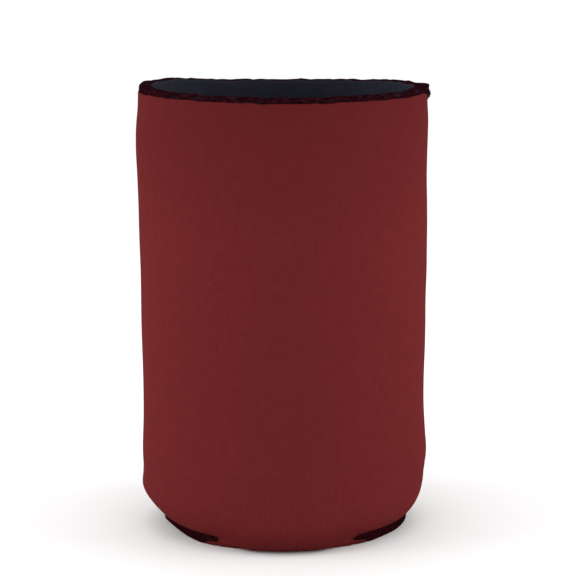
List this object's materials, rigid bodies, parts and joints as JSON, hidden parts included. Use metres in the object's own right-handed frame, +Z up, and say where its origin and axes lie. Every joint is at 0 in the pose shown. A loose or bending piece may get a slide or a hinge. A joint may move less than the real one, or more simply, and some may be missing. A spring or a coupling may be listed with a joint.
{
  "type": "can cooler sleeve",
  "caption": "Insulating cooler sleeve cut from one foam rubber sheet, folded up over a round base and joined along both sides by zigzag seams.",
  "frame": {"origin": "middle of the underside of the round base, on the surface that it stands on", "axes": "+Z up along the sleeve's axis to the mouth, -Y out of the front panel, +X and -X through the two side seams"},
  "size_m": [0.0748, 0.0746, 0.1136],
  "materials": {
    "sleeve": "matt maroon jersey over black foam rubber",
    "thread": "black sewing thread"
  },
  "bodies": {
    "root": {"foam_sleeve": "sleeve", "left_seam_top_thread": "thread", "left_seam_bobbin_thread": "thread", "right_seam_top_thread": "thread", "right_seam_bobbin_thread": "thread"}
  },
  "joints": []
}
